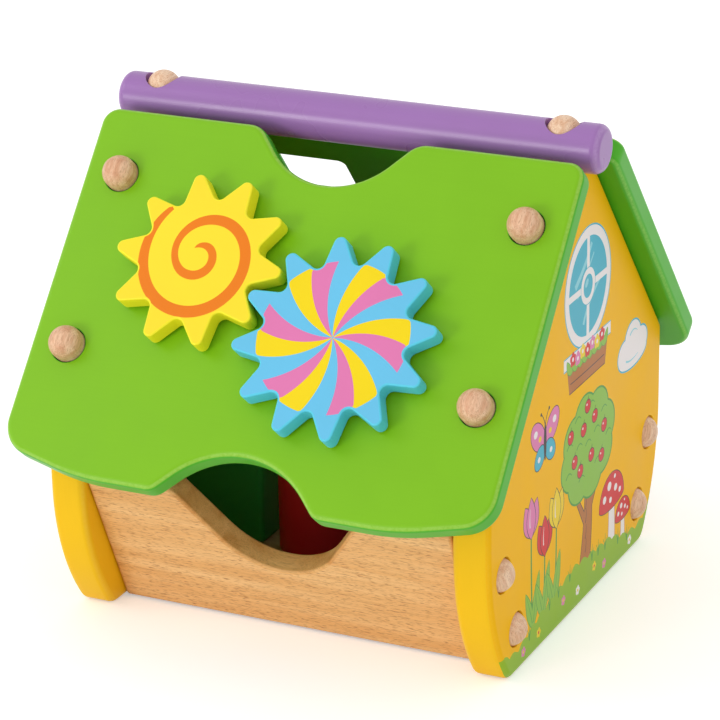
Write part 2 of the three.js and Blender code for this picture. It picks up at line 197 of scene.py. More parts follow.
def noise(tree, lengthMm, widthMm, shift, detail, **inputs):
    # Noise over the piece's own coordinates, whose unit is the length along X and the width across
    own = addNode(tree, "Attribute", attribute_name="grain").outputs["Vector"]
    scale = (1 / (lengthMm * mm), 1 / (widthMm * mm), 1 / (widthMm * mm))
    space = addNode(tree, "Mapping", {"Vector": own, "Scale": scale, "Location": (shift,) * 3})
    inputs = {"Vector": space.outputs[0], "Scale": 1, "Detail": detail, **inputs}
    return addNode(tree, "TexNoise", inputs).outputs["Fac"]


def mixed(tree, factor, first, second):
    inputs = {"Factor": factor, 6: first, 7: second}
    return addNode(tree, "Mix", inputs, data_type="RGBA").outputs[2]


def bumped(tree, height, depth, strength, under=None, invert=False):
    inputs = {"Height": height, "Distance": depth * mm, "Strength": strength}
    if under:
        inputs["Normal"] = under
    return addNode(tree, "Bump", inputs, invert=invert).outputs[0]


def finished(name, tree, colour, rough, bump, inputs):
    inputs = {"Base Color": colour, "Roughness": rough, "Normal": bump, **inputs}
    shader = addNode(tree, "BsdfPrincipled", inputs)
    addNode(tree, "OutputMaterial", {"Surface": shader.outputs[0]})
    return bpy.data.materials[name]


def lacquer(name, colour, edge=None, edgeShare=0.3, grain=1, gloss=0, shine=0.24, coat=0.02):
    # Sprayed on sanded beech: an even satin colour with a fine ripple and a trace of grain, with a
    # painted highlight, a paler line along the middle of the rounded edges
    tree = emptyTree(bpy.data.materials.new(name))
    base = np.array(linear(colour))

    def shade(*shares, lift=0):
        return tuple(np.clip(base * [*shares, 1] + lift, 0, 1).tolist())

    cloud = noise(tree, paint["cloudSize"], paint["cloudSize"], 0, 2)
    peel = noise(tree, paint["peelSize"], paint["peelSize"], 3.1, 1.5)
    fibre = noise(tree, paint["grainLength"], paint["grainWidth"], 7.7, 3)
    rub = addNode(tree, "Attribute", attribute_name="rub").outputs["Fac"]
    tone = mixed(tree, cloud, shade(0.94, 0.95, 0.92), shade(1.03, 1.03, 1.05))
    tone = mixed(tree, remapped(tree, fibre, 0.35, 0.75, 0, 0.10 * grain), tone, shade(0.86, 0.88, 0.84))
    # painted highlight: the edge colour laid along the crest of the rounded edges, broken up by the ripple
    paintedHighlight = combined(tree, "MULTIPLY", remapped(tree, rub, 0.7, 1, 0, 1.6 * edgeShare), peel)
    tone = mixed(tree, paintedHighlight, tone, linear(edge) if edge else shade(1.1, 1.1, 1.1, lift=0.03))
    flat = paint["roughness"] - gloss
    rough = remapped(tree, cloud, 0.3, 0.7, flat - 0.04, flat + 0.05)
    ripple = bumped(tree, peel, paint["peelDepth"], 0.7)
    bump = bumped(tree, fibre, paint["grainDepth"] * grain, 0.6, ripple)
    return finished(name, tree, tone, rough, bump, {
        "IOR": 1.5, "Specular IOR Level": shine, "Coat Weight": coat,
        "Coat Roughness": paint["coatRoughness"]})


def beechWood(name, pale, mid, dark, fleck=1, roughness=beech["roughness"], rings=1):
    # Slow growth bands, fine fibres and the short dark dashes of the rays, dots on end grain
    tree = emptyTree(bpy.data.materials.new(name))
    ring = noise(tree, beech["ringLength"], beech["ringWidth"] / rings, 0, 2, Distortion=0.4)
    fibre = noise(tree, beech["fibreLength"], beech["fibreWidth"], 5.3, 3, Roughness=0.6)
    dash = noise(tree, beech["fleckLength"], beech["fleckWidth"], 9.9, 1)
    wood = mixed(tree, remapped(tree, ring, 0.32, 0.68), linear(pale), linear(mid))
    wood = mixed(tree, remapped(tree, fibre, 0.45, 0.8, 0, 0.45), wood, linear(dark))
    mark = remapped(tree, dash, 0.56, 0.70, 0, 0.72 * fleck)
    wood = mixed(tree, mark, wood, linear(dark))
    rough = remapped(tree, fibre, 0.3, 0.7, roughness - 0.05, roughness + 0.08)
    pores = bumped(tree, mark, beech["fleckDepth"], 0.8, invert=True)
    bump = bumped(tree, fibre, beech["fibreDepth"], 0.6, pores)
    return finished(name, tree, wood, rough, bump, {
        "IOR": 1.48, "Specular IOR Level": 0.4, "Coat Weight": beech["coat"],
        "Coat Roughness": beech["coatRoughness"]})


def zincPlate(name):
    # A pale grey metal with a faint bluish cloud
    tree = emptyTree(bpy.data.materials.new(name))
    own = addNode(tree, "TexCoord").outputs["Object"]
    inputs = {"Vector": own, "Scale": 1 / (zinc["cloudSize"] * mm), "Detail": 3}
    cloud = addNode(tree, "TexNoise", inputs).outputs["Fac"]
    tone = mixed(tree, cloud, linear(zinc["dark"]), linear(zinc["pale"]))
    rough = remapped(tree, cloud, 0, 1, *zinc["roughness"])
    return finished(name, tree, tone, rough, bumped(tree, cloud, zinc["depth"], 0.5), {"Metallic": 1})


finish = {
    # each edge colour is the painted highlight line along the rounded edges
    "roofGreen": lacquer("greenSprayedLacquer", "#80bf12", edge="#b4e070", edgeShare=0.5),
    # sides and lower roundings of the roof panels: the green painted darker, as shade
    "roofShadedEdge": lacquer("greenLacquerPaintedEdgeShade", "#4cb31e", edge="#a6dc6a", edgeShare=0.5),
    "polePurple": lacquer("purplePolishedLacquer", "#9f70b3", edge="#c3a0d2", edgeShare=0.5, gloss=0.1,
                          shine=0.4, coat=0.12),
    "houseYellow": lacquer("yellowSprayedLacquer", "#ffbf00", edge="#ffcb45", shine=0.08, coat=0),
    # sides and lower roundings of the gables: the yellow painted lighter, as light on the front edge bands
    "houseLitEdge": lacquer("yellowLacquerPaintedEdgeLight", "#ffc81c", edge="#ffd052", shine=0.12, coat=0),
    "sunYellow": lacquer("sunYellowSprayedLacquer", "#fde12a"),
    # sides of the sun gear: its yellow with a painted green reflection of the roof
    "sunEdgeReflection": lacquer("sunYellowPaintedGreenReflection", "#fdec28"),
    "sunOrange": lacquer("orangeScreenPrint", "#ee7d02", grain=0.4),
    "wheelBlue": lacquer("skyBlueSprayedLacquer", "#69c3ea"),
    # sides of the pinwheel: its blue with a painted green reflection of the roof
    "wheelEdgeReflection": lacquer("tealPaintedGreenReflection", "#5ccfea"),
    "wheelYellow": lacquer("lemonScreenPrint", "#f6d800", grain=0.4),
    "wheelPink": lacquer("pinkScreenPrint", "#e27ab1", grain=0.4),
    "boards": beechWood("planedBeech", "#fbcb8a", "#f0b670", "#b3713a", fleck=1.15),
    "boardEdges": beechWood("sandedBeechEdges", "#f8c078", "#dd9a50", "#a3652c", fleck=0.5),
    "plugs": beechWood("turnedBeech", "#f2c8a4", "#d9a07a", "#9c6440", fleck=0.6, roughness=0.42, rings=3.5),
    "plugsPale": beechWood("turnedPaleBeech", "#fad9ba", "#e6b692", "#a9714c", fleck=0.6, roughness=0.42,
                           rings=3.5),
    "axles": beechWood("turnedBeechDowel", "#e0b98a", "#d8b184", "#b08050"),
    "floor": beechWood("sandedPlywood", "#e4c196", "#d6ac7a", "#b58a58", fleck=0.5),
    "zinc": zincPlate("brightZincPlate"),
}
blockColours = {
    "square": "#2f9e44", "round": "#d2232a", "triangle": "#f7cf1d", "hexagon": "#2b7fc7", "arcade": "#f08a24",
}
printInks = {
    "white": "#f4ecec", "window": "#45b4cc", "glint": "#8fd3e0", "leaf": "#8dc03f", "leafDark": "#4f9a3a",
    "grass": "#93bc1c", "red": "#d8262c", "pink": "#e37fb3", "dark": "#3a2e2a", "bark": "#b9702e",
    "lemon": "#f3d21b",
}
for name, colour in blockColours.items():
    finish[f"block_{name}"] = lacquer(f"{name}BlockLacquer", colour)
for name, colour in printInks.items():
    finish[f"print_{name}"] = lacquer(f"{name}HouseScreenPrint", colour, grain=0.4, shine=0.18)
print("materials made:", len(finish))


# placing: the frames of the boards, as 4x4 arrays in millimetres

houseSize = {
    "ridgeHeight": 224.7, "roofSlope": 49.6, "boardLean": 23.9, "boardFootDepth": 72.8, "boardLift": 0.6,
}
ridge = houseSize["ridgeHeight"]


def moved(x=0, y=0, z=0):
    made = np.eye(4)
    made[:3, 3] = x, y, z
    return made


def turnedBy(angle, axis):
    return np.array(Matrix.Rotation(angle, 4, axis))


backTurn = turnedBy(pi, "Z")
slopeFrame = {"front": moved(z=ridge) @ turnedBy(radians(houseSize["roofSlope"]), "X")}
leanFrame = {"front": moved(y=-houseSize["boardFootDepth"], z=houseSize["boardLift"])
             @ turnedBy(radians(90 + houseSize["boardLean"]), "X")}
gableFrame = {"right": turnedBy(pi / 2, "X") @ turnedBy(pi / 2, "Y")}   # X in depth, Y up, Z outwards
slopeFrame["back"] = backTurn @ slopeFrame["front"]
leanFrame["back"] = backTurn @ leanFrame["front"]
gableFrame["left"] = backTurn @ gableFrame["right"]


# outlines

def unit(vectors):
    return vectors / np.linalg.norm(vectors, axis=-1, keepdims=True)


def roundedOutline(corners, sag=0.012):
    # Each corner [x, y, radius] becomes an arc tangent to both of its sides, in steps that leave the
    # arc by no more than sag; the normals point away from what the outline encloses
    corners = np.array(corners, float)
    spots, normals = [], []
    for before, corner, after in zip(np.roll(corners, 1, 0), corners, np.roll(corners, -1, 0)):
        point, radius = corner[:2], corner[2]
        back, ahead = unit(before[:2] - point), unit(after[:2] - point)
        half = acos(np.clip(back @ ahead, -1, 1)) / 2
        centre = point + unit(back + ahead) * radius / sin(half)
        start = point + back * radius / tan(half) - centre
        way = -1 if back[0] * ahead[1] - back[1] * ahead[0] > 0 else 1
        steps = max(4, ceil((pi - 2 * half) / (2 * acos(1 - min(sag / radius, 0.9)))))
        out = ray(atan2(start[1], start[0]) + way * np.linspace(0, pi - 2 * half, steps + 1))
        spots.append(centre + radius * out)
        normals.append(way * out)
    return np.concatenate(spots), np.concatenate(normals)


def circleOutline(radius, sides=72):
    # The radius times the cosine and sine of even steps
    out = ray(even(sides))
    return out * radius, out


def mirrored(corners):
    # The corners of the other half, in the order of the walk
    return [[-x, y, radius] for x, y, radius in corners[::-1]]


def notch(cut, edge, way):
    # A shoulder, the bend at the end of the reach and the other shoulder, cut into an edge
    half, shoulder = way * cut["half"], cut["shoulder"]
    return [[half, edge, shoulder], [0, edge - way * cut["reach"], cut["bend"]], [-half, edge, shoulder]]


def opened(outline, x=0, y=0):
    # The same line walked the other way round, as the rim of a hole
    spots, normals = outline
    return spots[::-1] + [x, y], -normals[::-1]


def inside(points, loop):
    # Counts the sides of the loop that a ray from each point towards +X crosses; odd is inside
    ax, ay = loop.T
    bx, by = np.roll(loop, -1, 0).T
    near = np.all((points >= loop.min(0)) & (points <= loop.max(0)), axis=1)
    px, py = points[near, :1], points[near, 1:]
    rise = np.where(by == ay, 1e-12, by - ay)
    crosses = ((ay > py) != (by > py)) & (px < (bx - ax) * (py - ay) / rise + ax)
    found = np.zeros(len(points), bool)
    found[near] = crosses.sum(axis=1) % 2 == 1
    return found


# shells: points, exact normals and faces, gathered into one closed mesh

def newShell():
    return {"points": [], "normals": [], "rub": [], "faces": [], "inks": [], "count": 0}


def addPoints(shell, points, normals, rub=0):
    points = np.asarray(points, float)
    ids = np.arange(len(points)) + shell["count"]
    shell["points"].append(points)
    shell["normals"].append(np.broadcast_to(normals, points.shape))
    shell["rub"].append(np.broadcast_to(rub, len(points)))
    shell["count"] += len(points)
    return ids


def addFaces(shell, faces, ink=0):
    shell["faces"].append(np.asarray(faces))
    shell["inks"].append(np.broadcast_to(ink, len(faces)))


def bridge(shell, rings, ink=0, turned=False):
    # Closed bands of quads: each point of a ring, the next one, and the two over them
    for lower, upper in zip(rings, rings[1:]):
        faces = np.c_[lower, np.roll(lower, -1), np.roll(upper, -1), upper]
        addFaces(shell, faces[:, ::-1] if turned else faces, ink)


def closeRing(shell, ring, centre, facing, turned):
    # Triangles from the middle of a ring to its sides
    middle = addPoints(shell, [centre], facing)
    fan = np.c_[np.full(len(ring), middle[0]), ring, np.roll(ring, -1)]
    addFaces(shell, fan[:, ::-1] if turned else fan)


def addRings(shell, outline, levels, ink=0):
    # The outline carried through levels [height, inset, outward, upward]: inset moves it along its
    # normals into the wood, and the last two weigh its own normal against the upright
    spots, normals = outline
    rings = [addPoints(shell, lifted(spots - normals * inset, height), lifted(normals * outward, upward),
                       2 * abs(outward * upward)) for height, inset, outward, upward in levels]
    bridge(shell, rings, ink)
    return rings


def triangulated(points, edges):
    # Constrained Delaunay triangles, all anticlockwise, and the given point each found one stands for
    found, _, faces, origins, _, _ = delaunay_2d_cdt(points.tolist(), edges.tolist(), [], 0, 1e-6, True)
    found, faces = np.array(found), np.array(faces)
    one, two, three = (found[faces[:, i]] for i in range(3))
    area = (two - one)[:, 0] * (three - one)[:, 1] - (two - one)[:, 1] * (three - one)[:, 0]
    faces[area < 0] = faces[area < 0][:, ::-1]
    return found, faces, np.array([min(origin, default=len(points)) for origin in origins])


def ringEdges(sizes):
    # The closed rounds of edges of loops that lie one after another
    starts = np.cumsum(sizes) - sizes
    return np.concatenate([np.c_[np.arange(size), (np.arange(size) + 1) % size] + start
                           for size, start in zip(sizes, starts)])


def fillFlat(shell, rims, height, facing, prints=(), ink=0):
    # The triangles within the first rim and outside the others, cut along the edges of the prints;
    # each takes the ink of the last print that its centre lies in
    points = np.concatenate(shell["points"])
    loops = [points[ids][:, :2] for ids in rims] + [loop for loop, _ in prints]
    edges = ringEdges([len(loop) for loop in loops])
    found, faces, first = triangulated(np.concatenate(loops), edges)
    centres = found[faces].mean(axis=1)
    keep = inside(centres, loops[0])
    for loop in loops[1:len(rims)]:
        keep &= ~inside(centres, loop)
    faces, centres = faces[keep], centres[keep]
    inks = np.full(len(faces), ink)
    for loop, printInk in prints:
        inks[inside(centres, loop)] = printInk
    rimIds = np.concatenate(rims)
    onRim = first < len(rimIds)
    ids = np.full(len(found), -1)
    ids[onRim] = rimIds[first[onRim]]
    fresh = np.isin(np.arange(len(found)), faces) & ~onRim
    ids[fresh] = addPoints(shell, lifted(found[fresh], height), [0, 0, facing])
    addFaces(shell, ids[faces if facing > 0 else faces[:, ::-1]], inks)


def quarter(steps=6):
    return np.linspace(0, pi / 2, steps + 1)


def quarterRound(height, rise, inset, facing, steps):
    # From a flat face to a wall: the rise by 1 less the cosine, the inset by 1 less the sine
    return [(height + rise * (1 - cos(a)), inset * (1 - sin(a)), sin(a), facing * cos(a))
            for a in quarter(steps)]


def plate(outline, bottom, top, rounding, holes=(), prints=(), sideInk=0, steps=6):
    # A board with rounded edges; a hole is (outline, low, high, rim rounding), and low or high is None
    # where it goes right through
    shell = newShell()
    levels = quarterRound(bottom, rounding, rounding, -1, steps)
    levels += quarterRound(top, -rounding, rounding, 1, steps)[::-1]
    rings = addRings(shell, outline, levels, sideInk)
    faces = {-1: [rings[0]], 1: [rings[-1]]}
    for hole, low, high, rim in holes:
        ends, fillet = [], 0.7 * rim
        for facing, face, stop in ((-1, bottom, low), (1, top, high)):
            ends.append(quarterRound(face, -facing * rim, rim, facing, 3) if stop is None
                        else quarterRound(stop, -facing * fillet, -fillet, -facing, 2))
        rings = addRings(shell, hole, ends[0] + ends[1][::-1], sideInk)
        for facing, ring, stop in ((-1, rings[0], low), (1, rings[-1], high)):
            if stop is None:
                faces[facing].append(ring)
            else:
                fillFlat(shell, [ring], stop, -facing, ink=sideInk)
    fillFlat(shell, faces[-1], bottom, -1, ink=sideInk)
    fillFlat(shell, faces[1], top, 1, prints)
    return shell


def inkUpperEdge(shell, inks):
    # The face's ink wraps the upper rounding, but for the two bands next to the side
    for band in range(9, 13):
        shell["inks"][band] = np.broadcast_to(inks, len(shell["inks"][band]))


def turnedPiece(corners, sides=64, closed=False):
    # A profile of [radius, height, rounding] corners swept round Z in even steps; it starts and ends
    # on the axis, unless it is closed as a washer's is
    spots, normals = roundedOutline(corners, 0.01)
    if not closed:
        on = spots[:, 0] > 0.02
        spots, normals = spots[on], normals[on]
    shell = newShell()
    out = ray(even(sides))
    rings = [addPoints(shell, lifted(out * radius, height), lifted(out * outward, upward),
                       2 * abs(outward * upward))
             for (radius, height), (outward, upward) in zip(spots, normals)]
    bridge(shell, rings + rings[:1] if closed else rings)
    if not closed:
        for ring, facing, height in ((rings[0], -1, corners[0][1]), (rings[-1], 1, corners[-1][1])):
            closeRing(shell, ring, [0, 0, height], [0, 0, facing], facing < 0)
    return shell


def rod(radius, low, high, lowRounding, highRounding, sides=64, point=0):
    return turnedPiece([[0, low - point, 0.001], [radius, low, lowRounding], [radius, high, highRounding],
                        [0, high, 0.001]], sides)


pieces = []
pieceShift = np.array([37, 61, 89])    # mm, from one piece's grain to the next one's


def addPiece(shell, name, place, materials, node, alongGrain=(1, 0, 0)):
    # Puts the shell in its frame, in metres, and keeps its own coordinates as "grain": turned so that
    # X runs along the grain, and shifted so that no two pieces match
    used = np.unique(np.concatenate([group.ravel() for group in shell["faces"]]))
    renumbered = np.full(shell["count"], -1)
    renumbered[used] = np.arange(len(used))
    faces = [face for group in shell["faces"] for face in renumbered[group].tolist()]
    points, normals, rub = (np.concatenate(shell[key])[used] for key in ("points", "normals", "rub"))
    mesh = bpy.data.meshes.new(name)
    mesh.from_pydata(((points @ place[:3, :3].T + place[:3, 3]) * mm).tolist(), [], faces)
    mesh.polygons.foreach_set("material_index", np.concatenate(shell["inks"]).astype(np.int32))
    mesh.polygons.foreach_set("use_smooth", np.ones(len(faces), bool))
    for material in materials:
        mesh.materials.append(finish[material])
    other = (0, 1, 0) if alongGrain[2] else (0, 0, 1)
    own = np.c_[points @ alongGrain, points @ np.cross(other, alongGrain), points @ other]
    own += pieceShift * (len(pieces) + 1)
    for key, kind, field, values in (("grain", "FLOAT_VECTOR", "vector", own * mm),
                                     ("rub", "FLOAT", "value", rub)):
        layer = mesh.attributes.new(key, kind, "POINT")
        layer.data.foreach_set(field, values.astype(np.float32).ravel())
    mesh.update()
    mesh.normals_split_custom_set_from_vertices(unit(normals @ place[:3, :3].T).tolist())
    piece = newObject(name, mesh)
    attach(piece, bodyOf[node])
    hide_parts(node)
    pieces.append(piece)


# plugs over the screws: one dictionary places them in all the boards

plug = {
    "radius": 8, "foot": 3.4, "top": 17.8, "footRounding": 0.6, "holeRadius": 8.4,
    "panelSeat": 9.3, "gableSeat": 96.8, "ridgeSeat": 220.5, "fromMiddle": 101,
    "panelRows": {"upper": -47.2, "lower": -132.2},
    "boardRows": {"upper": 56.2, "lower": 20.9}, "boardMiddle": -6,
}
plugHoleOutline = circleOutline(plug["holeRadius"])


def addPlug(node, material, place):
    # A dowel with a half-round head: its top corner is rounded by the whole radius
    shell = rod(plug["radius"], plug["foot"], plug["top"], plug["footRounding"], plug["radius"] - 0.03)
    addPiece(shell, f"cap_{node}", place, [material], node, (0, 1, 0))


for end, side in (("right", 1), ("left", -1)):
    for name, turn in (("front", 1), ("back", -1)):
        across = side * turn
        for row, down in plug["panelRows"].items():
            place = slopeFrame[name] @ moved(across * plug["fromMiddle"], down, plug["panelSeat"])
            addPlug(f"roof_{name}_{end}_{row}_plug", "plugs", place)
        for row, up in plug["boardRows"].items():
            place = leanFrame[name] @ moved(across * plug["gableSeat"], up, plug["boardMiddle"])
            addPlug(f"gable_{end}_{name}_{row}_plug", "plugsPale", place @ turnedBy(across * pi / 2, "Y"))
    addPlug(f"ridge_{end}_plug", "plugsPale", moved(side * plug["fromMiddle"], 0, plug["ridgeSeat"]))
print("plugs made")


# ridge pole

pole = {
    "half": 121, "radius": 11.3, "endRounding": 4, "rim": 0.45,
    "columns": 72, "fine": 1.6, "coarse": 7,       # mm, steps of the grid near the holes and between them
}


def onPole(along, turn, radius):
    # Along X, and round it by the turn from the upright: y is the sine and z the cosine
    height = ridge + radius * np.cos(turn)
    return np.stack([along + 0 * turn, radius * np.sin(turn), height], axis=-1)


def holeRim(side, reach):
    # A circle on the rolled-out side: the girth is the radius times the arcsine of the depth
    out = ray(-even(64))
    girth = pole["radius"] * np.arcsin(reach * out[:, 1] / pole["radius"])
    return np.c_[side * plug["fromMiddle"] + reach * out[:, 0], girth]


# the rolled-out side, length by girth, as a grid with the two plug holes cut out of it
shell = newShell()
radius, columns, rounding = pole["radius"], pole["columns"], pole["endRounding"]
flat = pole["half"] - rounding
near = np.arange(plug["fromMiddle"] - 13, flat, pole["fine"])
middle = np.linspace(-near[0], near[0], round(2 * near[0] / pole["coarse"]))
along = np.r_[[-flat], -near[::-1], middle[1:-1], near, [flat]]
turn = np.linspace(-pi, pi, columns + 1)
grid = np.stack(np.meshgrid(along, radius * turn, indexing="ij"), axis=-1).reshape(-1, 2)
out = ray(-even(64))
reach = plug["holeRadius"] + pole["rim"]
rims = [holeRim(side, reach) for side in (-1, 1)]
keep = np.isin(np.arange(len(grid)) // (columns + 1), [0, len(along) - 1])
keep |= ~inside(grid, holeRim(-1, reach + 0.5)) & ~inside(grid, holeRim(1, reach + 0.5))
kept = grid[keep]
spots = np.concatenate([kept] + rims)
found, faces, first = triangulated(spots, ringEdges([64, 64]) + len(kept))
centres = found[faces].mean(axis=1)
faces = faces[~inside(centres, rims[0]) & ~inside(centres, rims[1])]

# the two edges of the rolled-out side are one line on the pole
turns = spots[:, 1] / radius
facing = np.c_[0 * turns, np.sin(turns), np.cos(turns)]
ids = addPoints(shell, onPole(spots[:, 0], turns, radius), facing)
gridId = np.full(len(grid), -1)
gridId[keep] = np.arange(len(kept))
gridId = gridId.reshape(len(along), columns + 1)
same = ids.copy()
same[gridId[:, -1]] = ids[gridId[:, 0]]
addFaces(shell, same[first[faces]])

# rounded ends
for side, row in ((-1, 0), (1, -1)):
    rings = [ids[gridId[row, :-1]]]
    for a in quarter()[1:]:
        points = onPole(side * (flat + rounding * sin(a)), turn[:-1], radius - rounding * (1 - cos(a)))
        facing = np.c_[np.full(columns, side * sin(a)), ray(turn[:-1])[:, ::-1] * cos(a)]
        rings.append(addPoints(shell, points, facing, sin(2 * a)))
    bridge(shell, rings, turned=side > 0)
    centre = [side * pole["half"], 0, ridge]
    closeRing(shell, rings[-1], centre, [side, 0, 0], side > 0)

# pits for the plugs: a rounded rim, a wall and a flat floor
wall = lifted(-out, 0)
for index, side in enumerate((-1, 1)):
    start = len(kept) + 64 * index
    rings = [ids[start:start + 64]]
    for a in quarter(4)[1:]:
        spot = out * (plug["holeRadius"] + pole["rim"] * (1 - sin(a)))
        height = np.sqrt(radius ** 2 - spot[:, 1] ** 2)
        skin = np.c_[0 * height, spot[:, 1], height] / radius
        points = lifted(spot, ridge + height - pole["rim"] * (1 - cos(a)))
        points[:, 0] += side * plug["fromMiddle"]
        rings.append(addPoints(shell, points, unit(skin * cos(a) + wall * sin(a)), sin(2 * a)))
    centre = np.array([side * plug["fromMiddle"], 0, plug["ridgeSeat"]])
    rings.append(addPoints(shell, centre - wall * plug["holeRadius"], wall))
    bridge(shell, rings, turned=True)
    closeRing(shell, rings[-1], centre, [0, 0, 1], True)
addPiece(shell, "handle_pole", np.eye(4), ["polePurple"], "ridge_pole")
print("ridge pole made")


# gables and their print

gable = {
    "inner": 92, "outer": 110, "edgeRounding": 3.5,
    "halfDepth": 107, "footHalf": 84.2, "kneeHeight": 32.2, "kneeRounding": 106, "footRounding": 9,
    "eaveRounding": 4, "slopeOut": 4.3,              # slope line from the ridge axis
    "saddleRadius": 11.6, "saddleCorner": 10.81, "saddleRounding": 3.6,
    "grassEnds": (15, 23),                           # height where the grass meets the edge, front and back
    "grassLine": ([-84, -76, -48, -6, 40, 58, 76, 86], [11, 9.4, 16, 22, 18, 12, 9.4, 12]),
    "grassTuft": (2.2, 10.5),                        # height and spacing of its round tufts
}
gableInks = ["houseYellow", "houseLitEdge"] + [f"print_{name}" for name in printInks]


def rotated(loop, lean, x=0, y=0):
    c, s = cos(radians(lean)), sin(radians(lean))
    return loop @ np.array([[c, s], [-s, c]]) + [x, y]


def oval(x, y, across, up, count=32, lean=0):
    # Half widths times the cosine and sine of even steps
    return rotated(ray(even(count)) * [across, up], lean, x, y)


def leafForm(x, y, length, width, lean):
    # To the tip and back: half the width times a power of the sine, fuller near the base
    t = np.linspace(0, 1, 14)
    half = width / 2 * np.sin(np.pi * t) ** 0.85 * (1.15 - 0.3 * t)
    low, high = (np.c_[t * length, side * half] for side in (-1, 1))
    return rotated(np.r_[low, high[-2:0:-1]], lean, x, y)


def stroke(start, bend, end, wide, thin, count=14):
    # A band on both sides of the curve (1-t)^2 start + 2t(1-t) bend + t^2 end, thinning as it goes
    t = np.linspace(0, 1, count)[:, None]
    path = (1 - t) ** 2 * np.array(start) + 2 * t * (1 - t) * np.array(bend) + t ** 2 * np.array(end)
    way = unit(np.gradient(path, axis=0))
    side = np.c_[-way[:, 1], way[:, 0]] * (wide + (thin - wide) * t) / 2
    return np.r_[path - side, (path + side)[::-1]]


def grown(loop, by):
    # Each point moved outwards, square to the line between its neighbours
    way = unit(np.roll(loop, -1, 0) - np.roll(loop, 1, 0))
    return loop + by * np.c_[way[:, 1], -way[:, 0]]


slope, side, edge = radians(houseSize["roofSlope"]), gable["halfDepth"], gable["saddleCorner"]
apex = ridge + gable["slopeOut"] / cos(slope)
right = [[gable["footHalf"], 0, gable["footRounding"]],
         [side, gable["kneeHeight"], gable["kneeRounding"]],
         [side, apex - side * tan(slope), gable["eaveRounding"]],
         [edge, apex - edge * tan(slope), gable["saddleRounding"]]]
# the pit under the pole is the circle's lower part, run out straight to both slopes
dip = ridge - gable["saddleRadius"] / cos(radians(40))
outline = roundedOutline(right + [[0, dip, gable["saddleRadius"]]] + mirrored(right))
border = outline[0] - outline[1] * gable["edgeRounding"]
onGrass = border[:, 1] < np.where(border[:, 0] < 0, *gable["grassEnds"])
grassy = np.where(onGrass & np.roll(onGrass, -1), gableInks.index("print_grass"), 0)

# the print, in the order of printing, so that what comes later lies on top
layers = []


def lay(name, *loops, line=None, by=0.45):
    # Loops about the motif's place, over their outlines if these have an ink
    loops = [loop + place for loop in loops]
    if line:
        layers.extend((grown(loop, by), gableInks.index(f"print_{line}")) for loop in loops)
    layers.extend((loop, gableInks.index(f"print_{name}")) for loop in loops)


def blossom(name, heart, x, y, reach, petal, middle, count, first=0):
    petals = [(x + reach * cos(a), y + reach * sin(a)) for a in np.arange(5) * 1.2566 + first]
    lay(name, *(oval(*spot, petal, petal, count) for spot in petals))
    lay(heart, oval(x, y, middle, middle, count - 2))


# round window with crossed bars, a sill and a box of flowers
place = (8, 157)
lay("white", oval(0, 0, 28, 28, 72), line="window", by=0.8)
lay("window", oval(0, 0, 23.4, 23.4, 72))
for low, wide in ((-7.5, 3.2), (-2, 1.6), (13, 2.4)):
    ends = (-12 + low / 2, -4 - low), (-2, 4 - low), (8 + low / 2, 12 - low)
    lay("glint", stroke(*ends, wide, wide * 0.7))
lay("white", stroke((-24, 0), (0, 0), (24, 0), 3.2, 3.2), stroke((0, -24), (0, 0), (0, 24), 3.2, 3.2))
lay("white", oval(0, 0, 8.6, 8.6, 48), line="window", by=0.4)
lay("window", oval(0, 0, 5.6, 5.6))
lay("glint", oval(-1.6, 1.8, 2.4, 1.6, 16, 40))
lay("white", stroke((-29, -29.5), (0, -29.5), (29, -29.5), 5.4, 5.4, 3), line="window", by=0.6)
lay("bark", np.array([[-22, -45], [22, -45], [24.5, -35], [-24.5, -35]]), line="dark")
lay("dark", stroke((-21, -40.5), (0, -41), (21, -40.5), 0.5, 0.5))
for x in range(-21, 22, 6):
    lay("leaf", *(leafForm(x, -36, 8.6, 4, lean) for lean in (60, 120)), line="leafDark", by=0.35)
for step, name in enumerate(("red", "pink", "lemon", "red", "pink", "lemon", "red")):
    blossom(name, "white", -18 + 6 * step, -29.5 - 1.4 * (step % 2), 2.1, 1.6, 1.1, 12, 0.3)

# apple tree
place = (10, 78)
lay("bark", stroke((-4, -60), (2, -38), (0, -10), 13, 7), stroke((0, -36), (6, -26), (17, -16), 4.4, 2),
    stroke((-1, -40), (-8, -30), (-17, -18), 4.4, 2), line="dark", by=0.5)
for y in (-53, -46, -38, -31):
    lay("dark", stroke((-3, y), (-1.4, y + 3), (-1.8, y + 7), 0.6, 0.25, 6))
lobes = [oval(20 * cos(a), 15 * sin(a), 13.5, 11.5) for a in np.arange(8) * pi / 4 + 0.2]
lay("leafDark", *(grown(lobe, 1) for lobe in lobes))
lay("leaf", *lobes, oval(0, 0, 22, 17))
for x, y in ((-23, 7), (-13, 17), (4, 19), (20, 11), (26, -3), (12, -12), (-8, -14), (-24, -7), (0, 1),
             (11, 4), (-11, 3)):
    lay("leafDark", stroke((x - 3.6, y), (x, y + 3.8), (x + 3.6, y), 0.8, 0.4, 9))
for x, y in ((-17, -2), (-6, 10), (8, 12), (20, 3), (4, -6), (-10, -9), (17, -11), (-22, 12), (-1, 20)):
    lay("red", oval(x, y, 3.4, 3.1, 20), line="dark", by=0.4)
    lay("white", oval(x - 1.1, y + 1, 0.8, 0.6, 8))
    lay("dark", stroke((x, y + 2.6), (x, y + 3.8), (x + 1.1, y + 4.9), 0.7, 0.35, 5))

